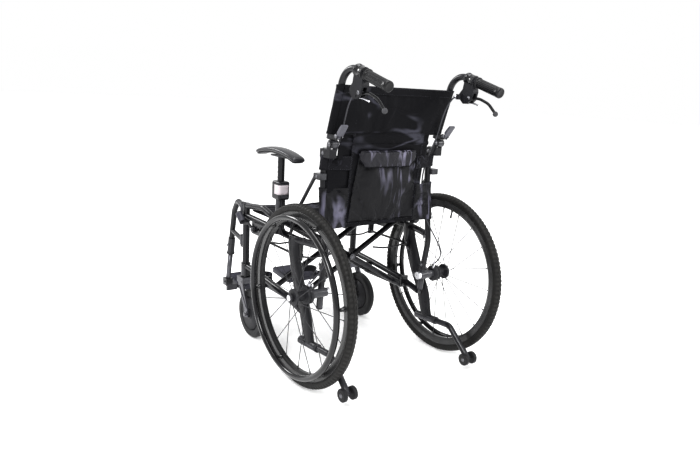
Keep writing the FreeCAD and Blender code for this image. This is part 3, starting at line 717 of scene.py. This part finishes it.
def side_panel(name, k, x0, z0, z1, body, seed, mat="pocket", nz=34, grow=0.05):
    def point(x, z):
        f = (x - x0) / (207 - x0)
        wave = 3.5 * n3(x * 0.03, seed, z * 0.03, seed) * math.sin(math.pi * f)
        return P(k * x, toward_cane(x, back_y(z) + 0.5, z, x0) + wave, z)
    ob = grid(name, span(x0, 207, 24), span(z0, z1, nz), point, mat)
    edge = [v.index for v in ob.data.vertices if not (x0 + 3) / 1000 < abs(v.co.x) < 0.203
            or not (z0 + 4) / 1000 < v.co.z < (z1 - 4) / 1000]
    relax(ob, edge, grow, cap=9)
    return ob


sides = [side_panel("lower_side_left", 1, 138, 481, 604, "left_frame", 2.2),
         side_panel("lower_side_right", -1, 134, 481, 603, "left_frame", 7.7)]
straps = [side_panel("strap_left", 1, 137, 658, 701, "left_frame", 4.1, "strap", 14, 0.01),
          side_panel("strap_right", -1, 120, 655, 697, "left_frame", 5.3, "strap", 14, 0.01),
          ]


def layer_point(u, z):
    """The slack inner layer, which shows between the wings, the straps and the lower panels."""
    right = -155 - 8 * smooth(655, 690, z)
    left = 186 + 21 * smooth(690, 672, z)
    x = right + (left - right) * u
    y = back_y(z) - 6.0 * smooth(0, 11, abs(z - 737)) + 1.5 * n3(x * 0.02, 3, z * 0.02)
    return P(x, toward_cane(x, y, z, 150) if x > 0 and z < 690 else y, z)


front_low = grid("back_front_layer", span(0, 1, 70), span(590, 737, 36), layer_point, "nylon")
front_top = grid("back_front_layer_top", span(0, 1, 70), span(737, 768, 8), layer_point, "nylon")


# pocket: a slack pouch with a chamfered flap
def pocket_half(z):
    return 112 + (705 - z) / 205 * 19


def pouch_point(i, j, rear):
    u, v = i / 46, j / 44
    z = 498 + 204 * v
    x = (2 * u - 1) * (pocket_half(z) - 2) + 2
    edge = min(1, 6 * min(u, 1 - u)) * min(1, 7 * min(v + 0.02, 1.02 - v))
    belly = 9 * math.sin(math.pi * u) ** 0.6 * (0.55 + 0.45 * math.sin(math.pi * v)) * edge
    y = back_y(z) + 1.5 + (4 + belly + 2.5 * n3(u * 5, v * 3, 1.0, 4.4) * edge if rear else 0)
    return P(x, y, z)


rear_v = [pouch_point(i, j, True) for j in range(45) for i in range(47)]
front_v = [pouch_point(i, j, False) for j in range(45) for i in range(47)]
faces = []
for base in (0, len(rear_v)):
    faces += [(base + j * 47 + i, base + j * 47 + i + 1, base + (j + 1) * 47 + i + 1, base + (j + 1) * 47 + i)
              for j in range(44) for i in range(46)]
rim_loop = [i for i in range(47)] + [j * 47 + 46 for j in range(1, 45)] + [44 * 47 + i
        for i in range(45, -1, -1)] + [j * 47 for j in range(43, 0, -1)]
for a, b in zip(rim_loop, rim_loop[1:] + rim_loop[:1]):
    faces.append((a, b, b + len(rear_v), a + len(rear_v)))
pocket = mesh_object("back_pocket_pouch", rear_v + front_v, faces, "pocket")
front_ids = [v.index for v in pocket.data.vertices if v.co.y < P(0, back_y(v.co.z * 1000) + 3.5, 0).y]
relax(pocket, front_ids, 0.05, pressure=0.6, cap=8)


def flap_point(i, j):
    u, v = i / 60, j / 18
    top, low = 716, 667
    half = 113
    z = top + (low - top) * v
    cut = 20 * smooth(0.4, 1.0, v) + 8 * smooth(0.2, 0.0, v)
    x = (2 * u - 1) * (half - cut) + 3
    y = back_y(z) + 15 + 4 * v + 2.6 * n3(u * 16, v * 1.3, 2.0, 6.0) * smooth(0, 0.5, v) + 1.2 * n3(u * 34,
            v * 2, 5.0)
    y -= 11 * smooth(0.12, 0.0, v)
    y -= 9 * smooth(0.06, 0.0, min(u, 1 - u))
    return P(x, y, z)


flap = grid("pocket_flap", list(range(61)), list(range(19)), flap_point, "flap")
piping = sweep("pocket_flap_piping", [flap_point(0, j) + Vector((0, 0.001, 0)) for j in range(19)]
               + [flap_point(i, 18) + Vector((0, 0.001, 0)) for i in range(1, 61)]
               + [flap_point(60, j) + Vector((0, 0.001, 0)) for j in range(17, -1, -1)], ring_profile(1.5, 8),
               "nylon", up=Vector((0, 1, 0)))
closure = grid("pocket_top_roll", span(-106, 112, 60), list(range(13)),
               lambda x, i: P(x, back_y(711) + 9 + (5 + n3(x * 0.03, 1, 1,
                                                           8)) * math.sin(2 * math.pi * i / 12) - 4,
                              712 + 2.0 * n3(x * 0.02, 2, 2) + 4.5 * math.cos(2 * math.pi * i / 12)), "flap")

# seat sling
def seat_point(x, y):
    sag = -11 * (1 - (x / 212) ** 2) * (0.75 + 0.25 * math.sin(math.pi * (y + 436) / 374))
    wr = crease(x, y, 1.3, 2.4, 0.02, 0.014) * smooth(205, 150, abs(x))
    return P(x, y, 473.4 + sag + wr + 1.2 * n3(x * 0.02, y * 0.02, 4))


seat = grid("seat_sheet", span(-213, 213, 90), span(-436, -62, 80), seat_point, "nylon")
relax(seat, [v.index for v in seat.data.vertices if abs(v.co.x) > 0.206
             or not P(0, -430, 0).y < v.co.y < P(0, -68, 0).y], 0.015, cap=7)

run_cloth()

for ob in (panel, centre_top, front_top, hem, *seams):
    thicken(ob, 2.0 if ob is not hem else 3.4)
    soft(ob, U)
for ob in (centre, front_low, *low_edges, *sides, *straps):
    thicken(ob, 3.0 if ob in straps else 2.0)
    soft(ob, "left_frame")
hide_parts("back_upper")
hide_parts("back_lower")
thicken(flap, 1.8)
for ob in (pocket, flap, piping, closure):
    soft(ob, "left_frame")
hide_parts("back_pocket")
thicken(seat, 3.2)
put(seat, "seat")
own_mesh(seat)
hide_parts("seat_sling")
for y, nm in ((-434, "front"), (-64, "rear")):
    e = grid(f"seat_hem_{nm}", span(-212, 212, 80), list(range(12)),
             lambda x, i: seat_point(x, y) + Vector((0, 0.0034 * math.cos(2 * math.pi * i / 12),
                                                     0.0030 * math.sin(2 * math.pi * i / 12))), "nylon", )
    put(e, "seat")
    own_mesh(e)
for k, body in ((1, "brace_b"), (-1, "brace_a")):
    zs = span(-436, -60, 90)
    sl = grid(f"seat_tunnel_{body}", list(range(32)), zs,
              lambda i, y: P(k * 215 + (11.4 + 0.6 * n3(i * 0.4, y * 0.03, k)) * math.cos(2 * math.pi * i / 32),
                             y,
                             462 + (11.4 + 0.6 * n3(i * 0.4, y * 0.03, k)) * math.sin(2 * math.pi * i / 32)),
                             "nylon", wrap=True)
    put(sl, body)

for s, k in (("left", 1), ("right", -1)):
    sleeve(f"{s}_wing_sleeve", k, 766, 905, f"{s}_upper_back", seed=2.0 + k)
    sleeve(f"{s}_lower_sleeve", k, 481, 604, f"{s}_frame", seed=5.0 + k, r=12.9, amp=1.0, mat="pocket")
    sleeve(f"{s}_strap_loop", k, 658, 701, f"{s}_frame", seed=7.0 + k, mat="strap", r=12.9, amp=0.4)


def on_upper(x, z, off=1.7):
    return upper_point(x, z) + Vector((0, off / 1000, 0))


def on_lower(x, z, off=1.7):
    return lower_point(x, z) + Vector((0, off / 1000, 0))


up_lines = [[on_upper(x, 884, 3.0) for x in span(-203, 203, 60)],
            [on_upper(x, 902, 3.0) for x in span(-203, 203, 60)]]
for x in (138.5, 143.5, -132.5, -127.5):
    up_lines.append([on_upper(x, z, 2.6) for z in span(760, 880, 30)])
for x0, x1 in ((147, 203), (-203, -136)):
    up_lines.append([on_upper(x, 773, 2.4) for x in span(x0, x1, 10)])
soft(stitches("stitches_upper", up_lines), U)
low_lines = [[on_lower(x, 492, 2.4) for x in span(-134, 137, 40)]]
for x in (135.5, 139.5, -136.5, -132.5):
    low_lines.append([on_lower(x, z, 2.2) for z in span(484, 732, 50)])
for k, x0, z0, z1 in ((1, 141, 661, 698), (-1, 124, 658, 694)):
    box_pts = [(x0, z0), (203, z0), (203, z1), (x0, z1), (x0, z0)]
    for (xa, za), (xb, zb) in zip(box_pts, box_pts[1:]):
        low_lines.append([P(k * x, toward_cane(x, back_y(z) + 0.5, z, x0) + 2.3, z) for x,
                          z in zip(span(xa, xb, 8), span(za, zb, 8))])
soft(stitches("stitches_lower", low_lines), "left_frame")
flap_line = [[flap_point(i, 15) + Vector((0, 0.0016, 0)) for i in range(4, 57)]]
soft(stitches("stitches_flap", flap_line), "left_frame")


# ---- arm pads, collars, locks ------------------------------------------------------------------

for s, k in (("left", 1), ("right", -1)):
    R, mid, top = 420, -215, 703
    prof = []
    for i in range(36):
        t = 2 * math.pi * i / 36
        c, sn = math.cos(t), math.sin(t)
        a = 22.5 * math.copysign(abs(c) ** 0.55, c)
        b = 7.2 * math.copysign(abs(sn) ** 0.7, sn)
        prof.append((a, b))
    verts, n = [], len(prof)
    ys = span(-331, -87, 60)
    for j, y in enumerate(ys):
        e = min(1, min(y + 331.0, -87.0 - y) / 14.0)
        e = math.sqrt(max(0.02, 1 - (1 - e) ** 2))
        zc = top - 7.4 - (R - math.sqrt(R * R - (y - mid) ** 2))
        for a, b in prof:
            w = a * (0.78 + 0.22 * e)
            h = b * (0.45 + 0.55 * e)
            crown = 1.4 * (1 - (a / 22.5) ** 2) if b > 0 else 0
            verts.append(P(k * (ARM_X + w), y, zc + h + crown * e))
    faces = [(j * n + i, j * n + (i + 1) % n, (j + 1) * n + (i + 1) % n, (j + 1) * n + i)
             for j in range(len(ys) - 1) for i in range(n)]
    faces += [tuple(range(n))[::-1], tuple(range((len(ys) - 1) * n, len(ys) * n))]
    pad = mesh_object(f"{s}_arm_pad_foam", verts, faces, "pad")
    put(pad, f"{s}_arm")
    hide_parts(f"{s}_arm_pad")
    tray = grid(f"{s}_arm_pad_tray", span(-322, -96, 50), list(range(9)),
                lambda y, i: P(k * (ARM_X - 19 + 38 * i / 8), y,
                               top - 7.4 - (R - math.sqrt(R * R - (y - mid) ** 2)) - 7.6
                               - 2.2 * (1 - abs(i / 4 - 1) ** 4)), "plastic")
    put(thicken(tray, 2.4), f"{s}_arm")
    for y in (-225, -165):
        bolt(f"{s}_pad_screw{-y}", P(k * ARM_X, y, 676), (0, 0, -1), 3.4, f"{s}_arm", 2.6, dome=True)
    holes = [lathe(f"hole{s}{i}", P(k * (ARM_X + 10.4), -195, 612 + 16 * i), (k, 0, 0),
                   [(0, 3.4), (0.9, 3.4), (1.0, 2.6), (0.4, 2.4), (0.3, 0.01)], "castor", 16)
             for i in range(4)]
    put(join(f"{s}_post_holes", holes), f"{s}_arm")
    lab = []
    for x, y in [(272.6, -199), (272.6, -190), (272.6, -181), (272.0, -176), (270.2, -172.2), (267, -169.9),
                 (262, -169.3), (252, -169.3), (244, -169.3), (238, -169.3)]:
        lab.append((x, y))
    label = grid(f"{s}_collar_plate", list(range(len(lab))), span(559, 589, 6),
                 lambda i, z: P(k * lab[i][0], lab[i][1], z), "label")
    put(thicken(label, 1.2), f"{s}_frame")
    for z in (545, 596):
        band_ring = lathe(f"{s}_collar_lip{z}", P(k * ARM_X, -195, z - 2), (0, 0, 1),
                          [(0, 17), (0.8, 18.4), (3.2, 18.4), (4, 17)], "plastic", 36)
        put(band_ring, f"{s}_frame")
    g0, g1 = P(k * 266, -430.5, 419.4), P(k * 266, -464, 446)
    block = lathe(f"{s}_lock_grip", g0, g1 - g0,
                  [(0, 8), (1.5, 11.2), (4, 12.2), (20, 12.2), (34, 12.2), (39, 12.0), (42.2, 10.4), (43.6, 7),
                   (43.8, 0.1)], "grey", 28)
    put(block, f"{s}_lock_lever")
    bolt(f"{s}_lock_bolt", P(k * 270.5, -352, 408), (k, 0, 0), 5.6, f"{s}_lock_lever", 4.0)
    bolt(f"{s}_shoe_bolt", P(k * 270.5, -268, 400), (k, 0, 0), 4.6, f"{s}_lock_shoe", 3.6)
    bolt(f"{s}_lock_plate_bolt", P(k * 260.8, -300, 414), (k, 0, 0), 4.2, f"{s}_frame", 3.2, dome=True)
    shoe = lathe(f"{s}_shoe_sleeve", P(k * 273, -252, 433), (k, 0, 0),
                 [(0, 5.9), (1, 6.8), (25, 6.8), (26, 5.9)], "castor", 20)
    put(shoe, f"{s}_lock_shoe")

    # brackets, axle and frame fasteners
    F = f"{s}_frame"
    for nm, pos, ax, r, dm in (
            ("fold_head_out", (224.8, 26, 737), (1, 0, 0), 6.0, True),
            ("fold_head_in", (195.2, 26, 737), (-1, 0, 0), 6.0, True),
            ("joiner_out", (222.3, -8, 708), (1, 0, 0), 4.2, True),
            ("joiner_in", (197.7, -8, 708), (-1, 0, 0), 4.2, True),
            ("blade_up", (227.6, -108, 350), (-1, 0, 0), 5.5, False),
            ("blade_mid", (231.0, -68, 262), (-1, 0, 0), 5.5, False),
            ("blade_low", (232.8, -34, 205), (-1, 0, 0), 5.0, False),
            ("blade_out", (258.6, -66, 262), (1, 0, 0), 5.0, False),
            ("cane_low", (199.6, 4, 420), (-1, 0, 0), 4.6, False),
            ("cane_axle", (199.8, -1, 318), (-1, 0, 0), 4.2, True),
            ("strut_out", (237.2, -13, 639), (1, 0, 0), 4.0, True),
            ("link_in_a", (217.6, -108, 372), (-1, 0, 0), 4.2, True),
            ("link_in_b", (217.6, -328, 372), (-1, 0, 0), 4.2, True),
            ("socket_screw", (259.2, -18, 117), (1, 0, 0), 4.4, False),
            ("arm_foot", (267.2, -195, 452), (1, 0, 0), 4.0, True),
            ("sleeve_end_a", (217, -109.8, 212), (0, 1, 0), 6.0, False),
            ("sleeve_end_b", (217, -326.2, 212), (0, -1, 0), 6.0, False)):
        bolt(f"{s}_{nm}", P(k * pos[0], pos[1], pos[2]), (k * ax[0], ax[1], ax[2]), r, F, dome=dm)
    seal = lathe(f"{s}_drum_plate", P(k * 252.6, 0, AXLE_Z), (k, 0, 0),
                 [(0, 26.4), (1, 27.2), (8.6, 27.2), (9.4, 26.2)], "plastic", 40)
    put(seal, F)
    arm_lever = sweep(f"{s}_drum_arm", [P(k * 250.8, 0, 296), P(k * 250.8, 6, 304), P(k * 250.8, 10, 316)],
                      [(-4.5, -1.2), (4.5, -1.2), (4.5, 1.2), (-4.5, 1.2)], "steel", up=Vector((0, 1, 0)))
    put(arm_lever, F)
    ferrule = lathe(f"{s}_cable_ferrule", P(k * 257.5, 2.5, 323), (0, -0.05, -1),
                    [(0, 3.0), (1, 3.8), (10, 3.8), (11, 4.8), (16, 4.8), (17, 3.4)], "steel", 16)
    put(ferrule, F)
    for z, nm in ((214, "low"), (260, "top")):
        put(lathe(f"{s}_bearing_cap_{nm}", P(k * 240, -454, z - 1.5), (0, 0, 1),
                  [(0, 16), (0.8, 17.8), (3.2, 17.8), (4, 16.4)], "gloss", 36), F)
    put(lathe(f"{s}_post_cap", P(k * 240, -454, 477.5), (0, 0, 1),
              [(0, 12.8), (2.5, 12.8), (5, 10.5), (6, 5), (6.2, 0.1)], "plastic", 30), F)
    put(lathe(f"{s}_cane_end_cap", P(k * 210, -8.8, 229.5), (0, -0.08, -1),
              [(0, 10.3), (3, 10.3), (5, 8.5), (6, 4), (6.2, 0.1)], "plastic", 26), F)

    # castors
    for x, sg in ((270.2, 1), (209.8, -1)):
        bolt(f"{s}_castor_nut{int(x)}", P(k * x, -394, 88), (k * sg, 0, 0), 7.2, f"{s}_fork", 5.5)
    covers = []
    for sg in (1, -1):
        covers.append(lathe(f"cw{s}{sg}", P(k * 240 + sg * 12.2, -394, 88), (sg, 0, 0),
                            [(0, 57.5), (-3.4, 57.5), (-3.6, 54), (-1.2, 20), (3.2, 17.2), (4.2, 15.2),
                             (4.4, 6)], "plastic", 48))
    put(join(f"{s}_castor_core", covers), f"{s}_castor_wheel")
    for sg in (1, -1):
        bolt(f"{s}_fork_rivet{sg}", P(k * 240 + sg * 25, -440, 196), (sg, 0, 0), 4.2, f"{s}_fork", 2.8,
             dome=True)

    # anti-tipper
    for x, sg in ((270.0, 1), (222.0, -1)):
        bolt(f"{s}_tip_cap{int(x)}", P(k * x, 209, 42.5), (k * sg, 0, 0), 4.6, f"{s}_anti_tip_tube", 3.0,
             dome=True)
    put(lathe(f"{s}_tip_collar", P(k * 246, 39.6, 120.1), (0, 0.9978, 0.0658),
              [(0, 11.2), (0.8, 13.2), (9, 13.2), (10, 11.4)], "plastic", 30), f"{s}_anti_tip_tube")

    # foot hanger
    H = f"{s}_hanger"
    a, b = P(k * 225, -612.6, 258), P(k * 225, -633, 150)
    put(lathe(f"{s}_extension", a, b - a, [(0, 9.2), (108, 9.2), (109, 8.6)], "tube", 28), H)
    put(lathe(f"{s}_casing_lip", P(k * 225, -612.4, 262), b - a,
              [(0, 14.6), (1.5, 15.4), (5, 15.4), (7, 12), (7.4, 9.4)], "plastic", 30), H)
    bolt(f"{s}_clamp_bolt", P(k * 239, -636, 138), (k, 0, 0), 4.8, H)
    bolt(f"{s}_casing_bolt", P(k * 238.4, -607.5, 292), (k, 0, 0), 4.8, H)
    for z in (359, 479):
        put(lathe(f"{s}_knuckle_cap{z}", P(k * 240, -482, z - 1.2), (0, 0, 1),
                  [(0, 10.6), (2.2, 10.6), (3.4, 8), (3.6, 0.1)], "gloss", 26), H)
    FP = f"{s}_footplate"
    tilt = math.radians(-6)

    def foot_p(x, y, dz):
        yy, zz = y + 635, dz
        return P(k * x, -635 + yy * math.cos(tilt) - zz * math.sin(tilt),
                 112 + yy * math.sin(tilt) + zz * math.cos(tilt))

    ribs = []
    for i in range(15):
        y = -742 + i * 9.0
        inset = 10 if 0 < i < 14 else 18
        ribs.append(sweep(f"rib{s}{i}", [foot_p(x, y, 4.4) for x in span(30 + inset, 181 - inset, 8)],
                          [(-1.9, -1.0), (1.9, -1.0), (1.3, 1.2), (-1.3, 1.2)], "foot", up=Vector((0, 0, 1))))
    put(join(f"{s}_foot_ribs", ribs), FP)
    edge_pts = []
    for cx, cy, t0 in ((159, -628, 0), (52, -628, 90), (52, -730, 180), (159, -730, 270)):
        for i in range(9):
            t = math.radians(t0 + 90 * i / 8)
            edge_pts.append(foot_p(cx + 20.5 * math.cos(t), cy + 20.5 * math.sin(t), 4.6))
    edge_pts.append(edge_pts[0])
    put(sweep(f"{s}_foot_edge", edge_pts, ring_profile(2.4, 10), "foot", False, up=Vector((0, 0, 1))), FP)
    loop = [foot_p(34, -640, 4), foot_p(36, -618, 20), foot_p(60, -604, 44), foot_p(105, -598, 52),
            foot_p(150, -604, 44),
            foot_p(176, -618, 20), foot_p(178, -640, 4)]
    cu = bpy.data.curves.new(f"{s}_heel", "CURVE")
    cu.dimensions = "3D"
    sp = cu.splines.new("NURBS")
    sp.points.add(len(loop) - 1)
    for pt, c in zip(sp.points, loop):
        pt.co = (*c, 1)
    sp.order_u = 3
    sp.use_endpoint_u = True
    tmp = bpy.data.objects.new("heel_route", cu)
    scene.collection.objects.link(tmp)
    depsgraph = bpy.context.evaluated_depsgraph_get()
    hp = [v.co.copy() for v in bpy.data.meshes.new_from_object(tmp.evaluated_get(depsgraph)).vertices]
    bpy.data.objects.remove(tmp)
    heel = sweep(f"{s}_heel_strap", hp,
                 [(-13, -1.2), (-11, -1.6), (11, -1.6), (13, -1.2), (13, 1.2), (11, 1.6), (-11, 1.6),
                  (-13, 1.2)], "strap", up=Vector((0, 0, 1)))
    put(heel, FP)

BOLT_Z = 337.6
for y in (-140, -285):
    bolt(f"brace_nut{-y}", P(0, y - 35.0, BOLT_Z), (0, -1, 0), 7.5, "brace_a", 5.0)
    bolt(f"brace_head{-y}", P(0, y + 9.2, BOLT_Z), (0, 1, 0), 7.0, "brace_a", 5.0, dome=True)


# ---- stage -------------------------------------------------------------------------------------

floor_mat = bpy.data.materials.new("floor")
floor_mat.use_nodes = True
dial(floor_mat.node_tree.nodes["Principled BSDF"], Base_Color=(0.97, 0.97, 0.97, 1),
     Emission_Color=(1, 1, 1, 1), Emission_Strength=0.12, Roughness=0.75)
me = bpy.data.meshes.new("floor")
me.from_pydata([(-30, -30, 0), (30, -30, 0), (30, 30, 0), (-30, 30, 0)], [], [(0, 1, 2, 3)])
me.materials.append(floor_mat)
floor = bpy.data.objects.new("floor", me)
scene.collection.objects.link(floor)

world = bpy.data.worlds.new("studio")
scene.world = world
world.use_nodes = True
dial(world.node_tree.nodes["Background"], Color=(1, 1, 1, 1), Strength=1.0)


def area(name, loc, aim, size, power, size_y=None):
    d = bpy.data.lights.new(name, "AREA")
    d.shape = "RECTANGLE"
    d.size = size
    d.size_y = size_y or size
    d.energy = power
    o = bpy.data.objects.new(name, d)
    o.location = loc
    o.rotation_mode = "QUATERNION"
    o.rotation_quaternion = (Vector(aim) - Vector(loc)).to_track_quat("-Z", "Y")
    scene.collection.objects.link(o)


area("key", (3.2, 2.2, 3.4), (0, 0, 0.5), 1.6, 150)
area("fill", (-2.8, 3.0, 2.2), (0, 0, 0.5), 1.4, 70)
area("top", (0, 0.2, 4.2), (0, 0, 0.5), 2.4, 90)
area("rim_light", (1.5, -3.2, 2.6), (0, 0, 0.5), 1.2, 60)

cam_data = bpy.data.cameras.new("camera")
cam_data.lens = 31.93
cam_data.sensor_width = 36
cam = bpy.data.objects.new("camera", cam_data)
cam.location = P(1231, 1510, 893)
cam.rotation_mode = "QUATERNION"
cam.rotation_quaternion = (P(78.6, -46.6, 444.2) - cam.location).to_track_quat("-Z",
        "Y") @ Quaternion((0, 0, 1), 0.053)
scene.collection.objects.link(cam)
scene.camera = cam
scene.view_settings.view_transform = "Standard"
scene.view_settings.gamma = 0.79
